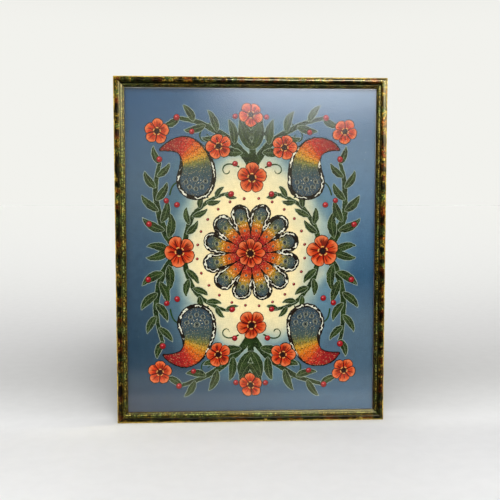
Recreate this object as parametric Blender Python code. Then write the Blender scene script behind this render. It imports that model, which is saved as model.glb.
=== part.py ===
"""A framed batik panel: a wax-resist dyed cotton cloth, flat behind glass, in a narrow moulded frame.

The panel stands upright on the flat outer side of its bottom rail and faces -Y. +Z is up, the origin
is the centre of that bottom side, and all sizes are in metres.
"""

import math

import bmesh
import bpy

# Driving dimensions of the frame
SIGHT_WIDTH = 0.342
SIGHT_HEIGHT = 0.445
FACE_WIDTH = 0.0145
FRAME_DEPTH = 0.022
REBATE_WIDTH = 0.005
REBATE_DEPTH = 0.007

# The moulding's outline: distances in from the outer side, and depths behind the front plane
EDGE_RADIUS = 0.0013
EDGE_DEPTH = 0.0036
BAND_END = 0.0088
BAND_FOOT = 0.0030
GROOVE_WIDTH = 0.0006
GROOVE_DEPTH = 0.0042
BEAD_WIDTH = 0.0030
BEAD_CREST = 0.0021
LIP_DEPTH = 0.0060

# The layers that the frame holds, from the front
GLASS_THICKNESS = 0.002
CLOTH_THICKNESS = 0.001
BOARD_THICKNESS = 0.003
SIDE_PLAY = 0.001
TOP_PLAY = 0.0017

# Pieces that touch keep this much air between their meshes
CONTACT_GAP = 0.0003

MITRE_ANGLE = math.radians(45)
SMOOTH_ANGLE = math.radians(32)
WELD_DISTANCE = 0.00001

OUTER_WIDTH = SIGHT_WIDTH + 2 * FACE_WIDTH
OUTER_HEIGHT = SIGHT_HEIGHT + 2 * FACE_WIDTH


def clear_scene():
    for obj in list(bpy.data.objects):
        bpy.data.objects.remove(obj, do_unlink=True)


def new_collection(name):
    collection = bpy.data.collections.new(name)
    bpy.context.scene.collection.children.link(collection)
    return collection


def new_material(name, colour, roughness, metallic=0.0, transmission=0.0):
    """A Principled BSDF material of one colour."""
    material = bpy.data.materials.new(name)
    material.use_nodes = True
    shader = material.node_tree.nodes["Principled BSDF"]
    shader.inputs["Base Color"].default_value = (*colour, 1.0)
    shader.inputs["Roughness"].default_value = roughness
    shader.inputs["Metallic"].default_value = metallic
    shader.inputs["Transmission Weight"].default_value = transmission
    return material


def arc(centre, radii, start, end, steps):
    """Points along an ellipse's arc. Angles are in degrees, from the inward direction towards the back."""
    points = []
    for step in range(steps + 1):
        angle = math.radians(start + (end - start) * step / steps)
        points.append((centre[0] + radii[0] * math.cos(angle), centre[1] + radii[1] * math.sin(angle)))
    return points


def moulding_outline():
    """The moulding's section as (distance in from the outer side, depth behind the front plane).

    It runs from the outer back corner over the face to the rebate: a quarter-round edge, a broad
    half-oval band, a narrow groove, a small half-round bead, and a lip that rolls down to the glass.
    """
    band_middle = (EDGE_RADIUS + BAND_END) / 2
    bead_start = BAND_END + GROOVE_WIDTH
    bead_end = bead_start + BEAD_WIDTH
    bead_foot = BEAD_CREST + BEAD_WIDTH / 2
    rebate_side = FACE_WIDTH - REBATE_WIDTH
    edge = arc((EDGE_RADIUS, EDGE_DEPTH), (EDGE_RADIUS, EDGE_RADIUS), 180, 270, 5)
    band = arc((band_middle, BAND_FOOT), (BAND_END - band_middle, BAND_FOOT), 180, 360, 20)
    groove = [(BAND_END, GROOVE_DEPTH), (bead_start, GROOVE_DEPTH)]
    bead = arc((bead_start + BEAD_WIDTH / 2, bead_foot), (BEAD_WIDTH / 2, BEAD_WIDTH / 2), 180, 360, 12)
    lip = arc((bead_end, LIP_DEPTH), (FACE_WIDTH - bead_end, LIP_DEPTH - bead_foot), 270, 360, 6)
    rebate = [(FACE_WIDTH, REBATE_DEPTH), (rebate_side, REBATE_DEPTH), (rebate_side, FRAME_DEPTH)]
    return [(0.0, FRAME_DEPTH)] + edge + band[1:] + groove + bead + lip[1:] + rebate


def extruded_mesh(name, outline, length):
    """A closed mesh: the outline as a filled flat curve, extruded along Z about its own plane."""
    curve = bpy.data.curves.new(name + "_outline", "CURVE")
    curve.dimensions = "2D"
    curve.fill_mode = "BOTH"
    curve.extrude = length / 2
    spline = curve.splines.new("POLY")
    spline.points.add(len(outline) - 1)
    for point, (x, y) in zip(spline.points, outline):
        point.co = (x, y, 0.0, 1.0)
    spline.use_cyclic_u = True
    guide = bpy.data.objects.new(name + "_outline", curve)
    bpy.context.scene.collection.objects.link(guide)
    bpy.context.view_layer.update()
    evaluated = guide.evaluated_get(bpy.context.evaluated_depsgraph_get())
    mesh = bpy.data.meshes.new_from_object(evaluated)
    bpy.data.objects.remove(guide, do_unlink=True)
    return mesh


def weld_and_smooth(mesh):
    """Joins the caps to the sides, turns the faces outwards, and shades the round stretches smooth."""
    work = bmesh.new()
    work.from_mesh(mesh)
    bmesh.ops.remove_doubles(work, verts=work.verts, dist=WELD_DISTANCE)
    bmesh.ops.recalc_face_normals(work, faces=work.faces)
    work.to_mesh(mesh)
    work.free()
    mesh.shade_smooth()
    mesh.set_sharp_from_angle(angle=SMOOTH_ANGLE)


def add_rail(name, outer_length, turn, location):
    """One mitred length of the moulding.

    It is made square-ended along its own Z. Each end point then moves back along the rail by its own
    distance from the outer side, which is what a 45 degree mitre cut takes off.
    """
    mesh = extruded_mesh(name, moulding_outline(), outer_length)
    joint_allowance = CONTACT_GAP / 2 / math.sin(MITRE_ANGLE)
    for vertex in mesh.vertices:
        end = outer_length / 2 - vertex.co.x - joint_allowance
        vertex.co.z = math.copysign(end, vertex.co.z)
    weld_and_smooth(mesh)
    rail = bpy.data.objects.new(name, mesh)
    rail.data.materials.append(lacquer)
    rail.parent = panel
    rail.location = location
    rail.rotation_euler = (0.0, turn, 0.0)
    parts.objects.link(rail)


def add_layer(name, front_depth, thickness, material):
    """A flat layer that stands on the bottom rail's rebate, with a little play at its sides and top."""
    bpy.ops.mesh.primitive_cube_add(size=1.0)
    layer = bpy.context.object
    layer.name = name
    layer.data.name = name
    rebate_floor = FACE_WIDTH - REBATE_WIDTH
    width = SIGHT_WIDTH + 2 * REBATE_WIDTH - 2 * SIDE_PLAY
    height = SIGHT_HEIGHT + 2 * REBATE_WIDTH - CONTACT_GAP - TOP_PLAY
    layer.scale = (width, thickness, height)
    bpy.ops.object.transform_apply(location=False, rotation=False, scale=True)
    layer.data.materials.append(material)
    layer.parent = panel
    layer.location = (
        0.0,
        front_depth + thickness / 2 - FRAME_DEPTH / 2,
        rebate_floor + CONTACT_GAP + height / 2,
    )
    for collection in list(layer.users_collection):
        collection.objects.unlink(layer)
    parts.objects.link(layer)


clear_scene()
parts = new_collection("framed_batik_panel")

panel = bpy.data.objects.new("panel", None)
parts.objects.link(panel)

lacquer = new_material("lacquer", (0.10, 0.07, 0.02), 0.28)
pane = new_material("glass", (0.95, 0.97, 0.96), 0.03, transmission=1.0)
batik = new_material("batik", (0.13, 0.20, 0.27), 0.85)
hardboard = new_material("hardboard", (0.26, 0.16, 0.09), 0.80)

# Each rail's own X points in from its outer side, and its own Y points to the panel's back
front = -FRAME_DEPTH / 2
add_rail("rail_left", OUTER_HEIGHT, 0.0, (-OUTER_WIDTH / 2, front, OUTER_HEIGHT / 2))
add_rail("rail_top", OUTER_WIDTH, math.pi / 2, (0.0, front, OUTER_HEIGHT))
add_rail("rail_right", OUTER_HEIGHT, math.pi, (OUTER_WIDTH / 2, front, OUTER_HEIGHT / 2))
add_rail("rail_bottom", OUTER_WIDTH, -math.pi / 2, (0.0, front, 0.0))

glass_front = REBATE_DEPTH + CONTACT_GAP
cloth_front = glass_front + GLASS_THICKNESS + CONTACT_GAP
board_front = cloth_front + CLOTH_THICKNESS + CONTACT_GAP
add_layer("glass_pane", glass_front, GLASS_THICKNESS, pane)
add_layer("batik_cloth", cloth_front, CLOTH_THICKNESS, batik)
add_layer("back_board", board_front, BOARD_THICKNESS, hardboard)
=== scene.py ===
"""A framed batik panel: dyed cotton behind glass, in a narrow moulding with a mottled lacquer.

The panel stands upright on its bottom rail and faces -Y. Sizes are in metres, and in millimetres where
a name or a comment says mm. Painted colours are display values from 0 to 255, and those of the lights
and the table are linear shares.
"""

import math

import bpy
import numpy as np
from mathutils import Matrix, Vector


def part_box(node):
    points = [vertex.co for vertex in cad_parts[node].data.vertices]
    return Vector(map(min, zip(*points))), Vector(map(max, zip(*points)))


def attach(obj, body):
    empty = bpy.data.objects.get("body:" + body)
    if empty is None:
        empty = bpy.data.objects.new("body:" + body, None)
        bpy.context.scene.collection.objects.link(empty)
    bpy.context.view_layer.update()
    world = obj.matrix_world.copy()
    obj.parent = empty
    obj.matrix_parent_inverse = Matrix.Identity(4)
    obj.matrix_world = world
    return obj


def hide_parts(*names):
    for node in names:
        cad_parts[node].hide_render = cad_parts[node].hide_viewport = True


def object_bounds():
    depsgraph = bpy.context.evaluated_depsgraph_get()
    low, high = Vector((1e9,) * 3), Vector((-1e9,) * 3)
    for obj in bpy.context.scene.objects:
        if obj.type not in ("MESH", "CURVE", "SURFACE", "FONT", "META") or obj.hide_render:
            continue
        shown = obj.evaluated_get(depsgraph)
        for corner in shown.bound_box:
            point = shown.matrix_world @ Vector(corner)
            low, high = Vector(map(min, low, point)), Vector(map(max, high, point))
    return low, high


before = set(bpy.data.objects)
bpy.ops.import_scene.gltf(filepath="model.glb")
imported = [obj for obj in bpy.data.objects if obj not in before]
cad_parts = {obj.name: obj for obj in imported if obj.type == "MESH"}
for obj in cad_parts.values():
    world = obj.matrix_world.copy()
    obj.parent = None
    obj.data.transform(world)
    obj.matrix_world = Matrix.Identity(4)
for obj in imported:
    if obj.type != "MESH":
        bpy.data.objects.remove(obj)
cad_low, cad_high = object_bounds()

# Camera: it stands a little left of the panel's middle and above it, and looks slightly down and right.
# The lens gives the angle at which all four corners of the frame lie where the photograph has them.
CAMERA_PLACE = (-0.0475, -0.9645, 0.3077)
CAMERA_PITCH = math.radians(-4.05)
CAMERA_YAW = math.radians(2.7145)
LENS_MM = 50.4
SENSOR_MM = 36.0

camera_data = bpy.data.cameras.new("camera")
camera_data.lens = LENS_MM
camera_data.sensor_width = SENSOR_MM
camera_data.sensor_fit = "HORIZONTAL"
camera = bpy.data.objects.new("camera", camera_data)
camera.location = CAMERA_PLACE
camera.rotation_euler = (math.pi / 2 + CAMERA_PITCH, 0.0, -CAMERA_YAW)
bpy.context.scene.collection.objects.link(camera)
bpy.context.scene.camera = camera
bpy.context.scene.view_settings.view_transform = "Standard"

# Studio light: a soft lamp high in front, a little to the right, in a white room. Behind the camera the
# room has a high soft light and, at the right, a window whose reflection lies over the upper right of
# the glass. Polished surfaces mirror the room darker than it lights, with a tall bright screen at right.
KEY_AIM = np.array((0.0, 0.0, 0.20))
KEY_DIRECTION = (15.0, 37.0)  # azimuth to the right and elevation, in degrees
KEY_DISTANCE = 2.1
KEY_SIZE = 0.7
KEY_POWER = 9.0
KEY_COLOUR = (1.0, 0.95, 0.89)
ROOM_BRIGHTNESS = 0.887
CEILING_SHARE = 0.3  # how bright the ceiling is, as a share of the room
CEILING_EDGE = (0.22, 0.60)  # sines of the elevation between which the room turns to ceiling
ROOM_TINT = (1.0, 1.0, 0.955, 1.0)
ROOM_FRONT_TINT = (0.74, 0.85, 0.99, 1.0)
FRONT_EDGE = (-0.1, 0.5)  # the front's tint starts between these shares of the way forwards
FRONT_TOP = (0.50, 0.30)  # and ends upwards between these sines of the elevation
HIGH_LIGHT = (0.0, 42.0, 17.0, 10.0)  # azimuth, elevation and width in degrees, and brightness
SIDE_LIGHT = (86.0, 15.0, 11.0, 15.0)
# A pair below is two angles in degrees: a light grows from nothing at the first to full at the second
WINDOW_BRIGHTNESS = 5.5
WINDOW_TINT = (0.86, 0.91, 1.03, 1.0)
WINDOW_LEFT = (-2.9, 4.1)
WINDOW_RIGHT = (24.1, 8.1)
WINDOW_FOOT = (4.5, 10.5)
WINDOW_TOP = (30.0, 22.0)
MIRRORED_WALL = (-7.0, 12.0, 0.0, 0.62)  # two elevations, and the mirrored wall's brightness at each
MIRRORED_TINT = (1.0, 0.94, 0.66, 1.0)
MIRRORED_BESIDE = (16.0, 30.0)  # azimuths to either side between which that wall turns to dim room
MIRRORED_ABOVE = (12.0, 24.0)
MIRRORED_ROOM = 0.13
SCREEN_BRIGHTNESS = 13.0
SCREEN_COLOUR = (1.0, 0.92, 0.55, 1.0)
SCREEN_LEFT = (-0.4, 3.1)
SCREEN_RIGHT = (110.0, 95.0)
SCREEN_TOP = (65.0, 50.0)
SCREEN_FOOT = (13.1, 23.1, 16.0, 3.5)  # two azimuths, and the elevation of the foot at each
SCREEN_FOOT_BLUR = 2.5
STRIP_ABOVE_FOOT = 2.5
STRIP_WIDTH = 3.0
STRIP_BRIGHTNESS = 26.0
STRIP_END = (25.1, 15.1)


class Nodes:
    """Adds nodes to one shader tree. Each socket takes a plain value or another node's output."""

    def __init__(self, tree):
        self.tree = tree

    def give(self, socket, value):
        """Links an output to a socket, or sets the socket's plain value."""
        if isinstance(value, bpy.types.NodeSocket):
            self.tree.links.new(value, socket)
        else:
            socket.default_value = value

    def add(self, kind, inputs=None, **settings):
        """A new node of a kind. Inputs go to its sockets, and settings to the node itself."""
        made = self.tree.nodes.new("ShaderNode" + kind)
        for name, value in settings.items():
            setattr(made, name, value)
        for socket, value in (inputs or {}).items():
            self.give(made.inputs[socket], value)
        return made

    def math(self, operation, *values):
        """One of Blender's operations on numbers."""
        return self.add("Math", dict(enumerate(values)), operation=operation).outputs[0]

    def plus(self, first, second):
        return self.math("ADD", first, second)

    def less(self, first, second):
        return self.math("SUBTRACT", first, second)

    def times(self, product, *factors):
        """The product of two or more values."""
        for factor in factors:
            product = self.math("MULTIPLY", product, factor)
        return product

    def bell(self, offset, *more):
        """The exponential of minus the sum of the offsets' squares: 1 at the middle, and soft off it."""
        squares = self.times(offset, offset)
        for value in more:
            squares = self.plus(squares, self.times(value, value))
        return self.math("EXPONENT", self.times(squares, -1.0))

    def vector(self, operation, *values):
        """A vector operation. Length and dot product give their number."""
        made = self.add("VectorMath", dict(enumerate(values)), operation=operation)
        return made.outputs["Value" if operation in ("LENGTH", "DOT_PRODUCT") else "Vector"]

    def parts(self, vector):
        """A vector's three numbers."""
        return list(self.add("SeparateXYZ", {0: vector}).outputs)

    def joined(self, *values):
        """A vector made of up to three numbers."""
        return self.add("CombineXYZ", dict(enumerate(values))).outputs[0]

    def step(self, value, start, end, low=0.0, high=1.0):
        """A soft step from low, where the value is at start, to high, where it's at end."""
        inputs = {0: value, 1: start, 2: end, 3: low, 4: high}
        return self.add("MapRange", inputs, interpolation_type="SMOOTHSTEP").outputs[0]

    def mix(self, share, first, second, blend="MIX"):
        """The first colour, with the second over it by a share."""
        made = self.add("Mix", data_type="RGBA", blend_type=blend)
        for socket, value in zip((0, 6, 7), (share, first, second)):
            self.give(made.inputs[socket], value)
        return made.outputs[2]

    def ramp(self, value, *stops, curve="LINEAR"):
        """Colours along a value, from (position, colour) pairs."""
        made = self.add("ValToRGB", {"Fac": value})
        made.color_ramp.interpolation = curve
        points = made.color_ramp.elements
        while len(points) < len(stops):
            points.new(1.0)
        for point, (position, colour) in zip(points, stops):
            point.position = position
            point.color = colour
        return made.outputs["Color"]

    def noise(self, place, size, detail=2.0, distortion=0.0):
        """Cloudy noise from 0 to 1 whose clouds are about this size, in the unit of the place."""
        inputs = {"Vector": place, "Scale": 1.0 / size, "Detail": detail, "Distortion": distortion}
        return self.add("TexNoise", inputs).outputs["Fac"]

    def shaded(self, colour, shade):
        """A colour multiplied by a number."""
        grey = self.add("CombineColor", {0: shade, 1: shade, 2: shade}).outputs[0]
        return self.mix(1.0, colour, grey, "MULTIPLY")


def aim_at(azimuth, elevation):
    """The unit vector from the panel to a point of the room in front of it."""
    across, up = math.radians(azimuth), math.radians(elevation)
    return np.array((math.sin(across) * math.cos(up), -math.cos(across) * math.cos(up), math.sin(up)))


def light_room():
    """The room's light by direction: a white shell with a dimmer ceiling, a soft light high in front, and a
    window, which is the product of four soft steps. Glossy rays see a darker wall in place of the first
    two, a light at the side, and a bright screen, the product of four soft steps, with a brighter strip
    above its foot. As a backdrop the shell is plain on every side."""
    world = bpy.data.worlds.new("room")
    bpy.context.scene.world = world
    world.use_nodes = True
    nodes = Nodes(world.node_tree)
    direction = nodes.add("TexCoord").outputs["Generated"]
    to_right, to_back, up = nodes.parts(direction)
    to_front = nodes.times(to_back, -1.0)
    elevation = nodes.math("DEGREES", nodes.math("ARCSINE", up))
    azimuth = nodes.math("DEGREES", nodes.math("ARCTAN2", to_right, to_front))

    def soft_light(across, height, width, brightness):
        """A round light that falls off as the exponential of minus the squared angle over its width."""
        cosine = nodes.vector("DOT_PRODUCT", direction, tuple(aim_at(across, height)))
        angle = nodes.math("DEGREES", nodes.math("ARCCOSINE", cosine))
        return nodes.times(nodes.bell(nodes.math("DIVIDE", angle, width)), brightness)

    rays = nodes.add("LightPath").outputs
    mirrored = rays["Is Glossy Ray"]
    light = nodes.step(up, *CEILING_EDGE, ROOM_BRIGHTNESS, ROOM_BRIGHTNESS * CEILING_SHARE)
    backdrop = nodes.shaded(ROOM_TINT, light)
    light = nodes.plus(light, soft_light(*HIGH_LIGHT))
    low_front = nodes.times(nodes.step(to_front, *FRONT_EDGE), nodes.step(up, *FRONT_TOP))
    lit = nodes.shaded(nodes.mix(low_front, ROOM_TINT, ROOM_FRONT_TINT), light)

    beside = nodes.step(nodes.math("ABSOLUTE", azimuth), *MIRRORED_BESIDE)
    aside = nodes.math("MAXIMUM", beside, nodes.step(elevation, *MIRRORED_ABOVE))
    wall = nodes.step(elevation, *MIRRORED_WALL)
    wall = nodes.plus(wall, nodes.times(aside, nodes.less(MIRRORED_ROOM, wall)))
    shell = nodes.mix(mirrored, lit, nodes.shaded(MIRRORED_TINT, wall))

    window = nodes.step(azimuth, *WINDOW_LEFT, 0.0, WINDOW_BRIGHTNESS)
    for angle, edge in ((azimuth, WINDOW_RIGHT), (elevation, WINDOW_FOOT), (elevation, WINDOW_TOP)):
        window = nodes.times(window, nodes.step(angle, *edge))
    shell = nodes.mix(1.0, shell, nodes.shaded(WINDOW_TINT, window), "ADD")

    above_foot = nodes.less(elevation, nodes.step(azimuth, *SCREEN_FOOT))
    screen = nodes.times(
        nodes.step(azimuth, *SCREEN_LEFT, 0.0, SCREEN_BRIGHTNESS),
        nodes.step(azimuth, *SCREEN_RIGHT),
        nodes.step(above_foot, -SCREEN_FOOT_BLUR, SCREEN_FOOT_BLUR),
        nodes.step(elevation, *SCREEN_TOP),
    )
    strip = nodes.bell(nodes.math("DIVIDE", nodes.less(above_foot, STRIP_ABOVE_FOOT), STRIP_WIDTH))
    strip = nodes.times(strip, nodes.step(azimuth, *STRIP_END, 0.0, STRIP_BRIGHTNESS))
    screen = nodes.times(screen, nodes.plus(strip, 1.0))
    screen = nodes.times(nodes.plus(screen, soft_light(*SIDE_LIGHT)), mirrored)
    room = nodes.mix(1.0, shell, nodes.shaded(SCREEN_COLOUR, screen), "ADD")
    background = world.node_tree.nodes["Background"]
    nodes.give(background.inputs["Color"], nodes.mix(rays["Is Camera Ray"], room, backdrop))


def add_lamp(name, direction, size, power, colour):
    """A square lamp in a direction from the panel, turned to it."""
    lamp = bpy.data.lights.new(name, "AREA")
    lamp.size = size
    lamp.energy = power
    lamp.color = colour
    azimuth, elevation = direction
    lamp_object = bpy.data.objects.new(name, lamp)
    lamp_object.location = KEY_AIM + KEY_DISTANCE * aim_at(azimuth, elevation)
    lamp_object.rotation_euler = (math.radians(90.0 - elevation), 0.0, math.radians(azimuth))
    bpy.context.scene.collection.objects.link(lamp_object)


light_room()
add_lamp("key", KEY_DIRECTION, KEY_SIZE, KEY_POWER, KEY_COLOUR)

# Table: a pale, matt surface that runs back into the white room, with painted shade: a painted shadow greys
# it a little way behind the panel and round its foot. The glass mirrors the part close to the panel, and
# the part far in front faintly.
TABLE_HALF_WIDTH = 18.0
TABLE_FRONT = -12.0
TABLE_BACK = 40.0
TABLE_LEVEL = -0.0002
# Painted shade on the table by distance, greyest a little behind the panel where its shadow falls
TABLE_PAINTED_SHADES = (
    # distance behind the panel, then red, green and blue of the painted shade there
    (-0.24, 0.812, 0.812, 0.830),
    (-0.12, 0.718, 0.716, 0.738),
    (-0.05, 0.708, 0.706, 0.726),
    (0.00, 0.860, 0.857, 0.872),
    (0.10, 0.745, 0.742, 0.752),
    (0.22, 0.600, 0.597, 0.602),
    (0.37, 0.606, 0.600, 0.606),
    (0.57, 0.652, 0.645, 0.654),
    (0.99, 0.757, 0.749, 0.756),
    (1.74, 0.855, 0.848, 0.842),
    (3.40, 0.909, 0.899, 0.892),
    (10.0, 0.936, 0.926, 0.907),
)
SHADE_NEAR = 0.70
SHADE_REACH = 0.9645
TABLE_GRAIN = 0.02
FOOT_PAINTED_SHADOW = 0.45  # painted shadow: how much darker the table is just behind the panel
FOOT_WIDTH = 0.28
FOOT_DEPTH = 0.75
FOOT_START = (-0.06, 0.08)
FRONT_HALF_WIDTH = 0.21
FRONT_PAINTED_SHADE = 0.075  # painted shade: how much darker it is in front
FRONT_END = (0.0, 0.02)
CONTACT_PAINTED_SHADOW = 0.20  # painted shadow: how much darker it is close to the bottom rail
CONTACT_REACH = (-0.115, -0.03)
MIRRORED_BANDS = (
    # two depths, and how bright the mirrored table is at each. The bands add up
    (-0.17, -0.12, 0.0, 0.48),
    (-2.5, -12.0, 0.0, 0.2),
    (-0.35, -0.20, 0.0, 0.52),
)


def surface_material(name, roughness, **settings):
    """A new material, its Principled shader and its Nodes. Settings are the shader's plain values, named
    as its sockets are, with underscores for spaces."""
    material = bpy.data.materials.new(name)
    material.use_nodes = True
    shader = material.node_tree.nodes["Principled BSDF"]
    shader.inputs["Roughness"].default_value = roughness
    for socket, value in settings.items():
        shader.inputs[socket.replace("_", " ")].default_value = value
    return material, shader, Nodes(material.node_tree)


def shade_position(depth):
    """Where a distance lies on the table's ramp: 1 less the near length over the distance and reach."""
    return 1.0 - SHADE_NEAR / (depth + SHADE_REACH)


def table_material():
    """Its painted shade follows the distance, less a soft painted shadow behind the panel that falls off as
    the exponential of minus the squared distances across and back, and less painted shade in front that
    falls off as the exponential of minus the fourth power of the distance across. Glossy rays see its
    mirrored bands, a painted reflection."""
    material, shader, nodes = surface_material("pale_table", 0.9, Specular_IOR_Level=0.0)
    place = nodes.add("TexCoord").outputs["Object"]
    across, depth, _ = nodes.parts(place)
    beyond = nodes.plus(nodes.math("MAXIMUM", depth, TABLE_PAINTED_SHADES[0][0]), SHADE_REACH)
    position = nodes.less(1.0, nodes.math("DIVIDE", SHADE_NEAR, beyond))
    stops = [(shade_position(distance), (*shade, 1.0)) for distance, *shade in TABLE_PAINTED_SHADES]
    colour = nodes.ramp(position, *stops, curve="B_SPLINE")
    grain = nodes.noise(place, TABLE_GRAIN, 3.0)
    colour = nodes.shaded(colour, nodes.step(grain, 0.3, 0.7, 0.988, 1.012))

    # Painted shade in front of the panel, with a painted shadow close to its foot
    off_middle = nodes.math("DIVIDE", across, FRONT_HALF_WIDTH)
    painted_shade_in_front = nodes.times(
        nodes.bell(nodes.times(off_middle, off_middle)),
        nodes.step(depth, *FRONT_END, 1.0, 0.0),
        nodes.step(depth, *CONTACT_REACH, FRONT_PAINTED_SHADE, CONTACT_PAINTED_SHADOW),
    )
    colour = nodes.shaded(colour, nodes.less(1.0, painted_shade_in_front))
    # A painted shadow behind the panel, soft to the sides and back
    off_middle = nodes.math("DIVIDE", across, FOOT_WIDTH)
    off_foot = nodes.math("DIVIDE", depth, FOOT_DEPTH)
    behind = nodes.times(nodes.bell(off_middle, off_foot), nodes.step(depth, *FOOT_START, 0.0, FOOT_PAINTED_SHADOW))
    colour = nodes.shaded(colour, nodes.less(1.0, behind))

    seen = nodes.step(depth, *MIRRORED_BANDS[0])
    for band in MIRRORED_BANDS[1:]:
        seen = nodes.plus(seen, nodes.step(depth, *band))
    seen = nodes.shaded(nodes.mix(1.0, colour, MIRRORED_TINT, "MULTIPLY"), seen)
    colour = nodes.mix(nodes.add("LightPath").outputs["Is Glossy Ray"], colour, seen)
    nodes.give(shader.inputs["Base Color"], colour)
    return material


def add_table():
    """One flat quad, level with the panel's foot."""
    corners = [(-TABLE_HALF_WIDTH, TABLE_FRONT), (TABLE_HALF_WIDTH, TABLE_FRONT)]
    corners += [(TABLE_HALF_WIDTH, TABLE_BACK), (-TABLE_HALF_WIDTH, TABLE_BACK)]
    mesh = bpy.data.meshes.new("table")
    mesh.from_pydata([(x, y, TABLE_LEVEL) for x, y in corners], [], [(0, 1, 2, 3)])
    mesh.materials.append(table_material())
    table = bpy.data.objects.new("table", mesh)
    bpy.context.scene.collection.objects.link(table)


add_table()

# Rails: four lengths of softwood moulding under a mottled lacquer, mitred and glued at the corners. The
# face has a quarter-round outer edge, a broad half-oval band, a groove, a small bead, and a lip that
# rolls down to the glass.
MM = 1000.0
EDGE_RADIUS = 0.0013
EDGE_DEPTH = 0.0036
BAND_END = 0.0088
BAND_FOOT = 0.0030
GROOVE_WIDTH = 0.0006
GROOVE_DEPTH = 0.0042
BEAD_WIDTH = 0.0030
BEAD_CREST = 0.0021
LIP_DEPTH = 0.0060
REBATE_WIDTH = 0.0050
REBATE_DEPTH = 0.0070
MITRE_GAP = 0.00006
RAIL_STATIONS = 260
SMOOTH_ANGLE = math.radians(32)
UNEVENNESS = 0.00007
UNEVEN_WAVES = ((310, 0), (127, 900), (743, 1500))  # radians for each metre along and across the rail
UNEVEN_DEPTH = (0.0030, 0.0060)  # the waves are full to the first depth, and gone at the second

LIGHT_ON_PANEL = 1.30
# Where the lacquer changes, in mm in from the outer side: a pair is where a change starts and ends
SHADE_INSETS = (1.4, 3.4, 4.8, 6.2, 7.6, 8.9, 10.3, 11.7, 13.0)
RUBBED_EDGE = (1.6, 0.9)
BAND_TO_BEAD = (7.4, 8.6)
REBATE_WALL = (9.3, 9.45)
# Painted shade: the lip darkens towards the glass, with a dark line at its edge
LIP_PAINTED_SHADE = (12.4, 13.4)
LIP_EDGE_PAINTED_SHADE = (14.0, 14.4)
PAINTED_SHADE_LINES = ((12.3, 0.5), (9.0, 0.45))  # middle and half width of the painted shade lines at the bead's two sides
# And in mm behind the front: where the dark side, the rebate's bare wood and the bare back start
SIDE_STARTS = (4.6, 6.4)
REBATE_STARTS = (6.2, 6.6)
BACK_STARTS = (21.2, 21.8)
POLISH_SPAN = 20.0
POLISH = ((0.24, 0.24), (0.29, 0.012), (0.54, 0.012), (0.60, 0.20))  # share of the span, coat's weight
PAINTED_LINE_STRENGTH = 0.75
# Painted light: a cap on the painted shade, and a straw-pale painted sheen over the lightest places
LIGHTEST_PAINTED_SHADE = 1.4
PAINTED_SHEEN = (1.0, 4.2, 0.0, 0.65)  # two painted shades, and how thick the painted sheen lies at each
PAINTED_SHEEN_COLOUR = (196, 188, 138)
BOTTOM_RAIL = (2600.0, 2700.0)  # of the kept places along the rails, only the bottom rail's are higher
RUBBED_MORE = 0.9  # mm by which the bottom rail's edge is rubbed further in

OUTER_WIDTH = cad_high.x - cad_low.x
OUTER_HEIGHT = cad_high.z - cad_low.z
FRAME_DEPTH = cad_high.y - cad_low.y
FACE_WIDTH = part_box("rail_left")[1].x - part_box("rail_left")[0].x


def arc(centre, radii, start, end, steps):
    """Points along an ellipse's arc. Angles are in degrees, from the inward direction towards the back."""
    angle = np.radians(np.linspace(start, end, steps + 1))
    return np.stack([centre[0] + radii[0] * np.cos(angle), centre[1] + radii[1] * np.sin(angle)], axis=1)


def moulding_section():
    """The section as (distance in from the outer side, depth behind the front), round to its start."""
    band_middle = (EDGE_RADIUS + BAND_END) / 2
    bead_start = BAND_END + GROOVE_WIDTH
    bead_end = bead_start + BEAD_WIDTH
    bead_foot = BEAD_CREST + BEAD_WIDTH / 2
    rebate_side = FACE_WIDTH - REBATE_WIDTH
    return np.concatenate([
        [(0.0, FRAME_DEPTH), (0.0, FRAME_DEPTH * 0.6)],
        arc((EDGE_RADIUS, EDGE_DEPTH), (EDGE_RADIUS, EDGE_RADIUS), 180, 270, 9),
        arc((band_middle, BAND_FOOT), (BAND_END - band_middle, BAND_FOOT), 180, 360, 32)[1:],
        [(BAND_END, GROOVE_DEPTH), (bead_start, GROOVE_DEPTH)],
        arc((bead_start + BEAD_WIDTH / 2, bead_foot), (BEAD_WIDTH / 2, BEAD_WIDTH / 2), 180, 360, 20),
        arc((bead_end, LIP_DEPTH), (FACE_WIDTH - bead_end, LIP_DEPTH - bead_foot), 270, 360, 9)[1:],
        [(FACE_WIDTH, REBATE_DEPTH), (rebate_side, REBATE_DEPTH), (rebate_side, FRAME_DEPTH)],
    ])


def closed_tube(name, points, material):
    """A closed mesh from rows of points, each row a closed loop. Quads join neighbouring rows, and one
    face fills each end row. The faces are turned outwards if the volume that they enclose is negative."""
    rows, columns = points.shape[:2]
    index = np.arange(rows * columns).reshape(rows, columns)
    near, far = index[:-1], index[1:]
    quads = np.stack([near, np.roll(near, -1, 1), np.roll(far, -1, 1), far], axis=-1).reshape(-1, 4)
    ends = [index[0, ::-1].tolist(), index[-1].tolist()]
    mesh = bpy.data.meshes.new(name)
    mesh.from_pydata(points.reshape(-1, 3).tolist(), [], quads.tolist() + ends)
    corners = points.reshape(-1, 3)[quads]
    triple = np.einsum("ij,ij->i", corners[:, 0], np.cross(corners[:, 1], corners[:, 2]))
    triple += np.einsum("ij,ij->i", corners[:, 0], np.cross(corners[:, 2], corners[:, 3]))
    if triple.sum() < 0:
        mesh.flip_normals()
    mesh.materials.append(material)
    mesh.shade_smooth()
    mesh.set_sharp_from_angle(angle=SMOOTH_ANGLE)
    piece = bpy.data.objects.new(name, mesh)
    bpy.context.scene.collection.objects.link(piece)
    return piece


def keep_values(piece, name, values):
    """Keeps three numbers for each point of a mesh, for its material to read."""
    attribute = piece.data.attributes.new(name, "FLOAT_VECTOR", "POINT")
    attribute.data.foreach_set("vector", np.asarray(values, np.float32).reshape(-1))


def kept_values(nodes, name):
    """The kept numbers as a vector in a material."""
    return nodes.add("Attribute", attribute_name=name).outputs["Vector"]


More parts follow.
